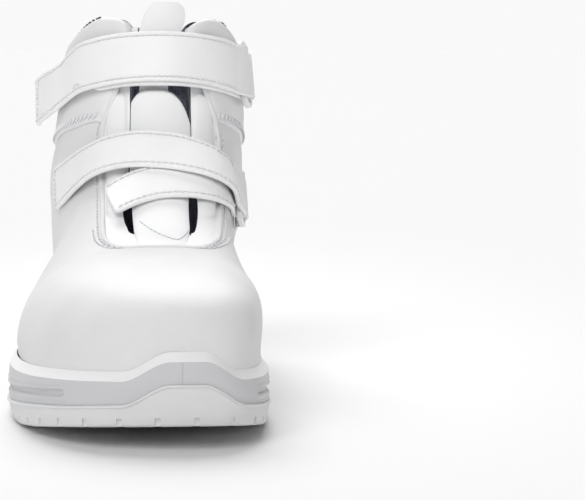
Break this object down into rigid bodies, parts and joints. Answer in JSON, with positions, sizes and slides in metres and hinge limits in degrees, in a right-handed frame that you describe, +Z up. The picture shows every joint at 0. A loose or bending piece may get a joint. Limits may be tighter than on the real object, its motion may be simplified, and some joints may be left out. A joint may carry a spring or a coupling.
{
  "type": "safety boot",
  "caption": "White ankle-high safety boot, right foot, with two hook-and-loop straps, padded collar and a moulded sole with a raised toe bumper",
  "frame": {"origin": "on the floor under the middle of the heel's flat tread", "axes": "+X across the foot towards the big-toe side, +Y from toe to heel, +Z up"},
  "size_m": [0.1089, 0.3016, 0.1708],
  "materials": {
    "sole": "matte moulded tread",
    "sole_side": "satin moulded foam side wall",
    "insole": "woven cover",
    "upper": "smooth coated leather with a fine grain",
    "facing": "soft coated leather",
    "strap": "coated leather, stitched edges",
    "ring": "moulded, glossy",
    "lining": "dark mesh lining",
    "thread": "sewing thread"
  },
  "bodies": {
    "root": {"outsole": "sole", "midsole": "sole_side", "insole": "insole", "upper": "upper", "throat_facing": "facing", "tongue": "facing", "strap_top": "strap", "strap_low": "strap", "ring_top": "ring", "ring_low": "ring", "tab_top": "strap", "tab_low": "strap"}
  },
  "joints": []
}
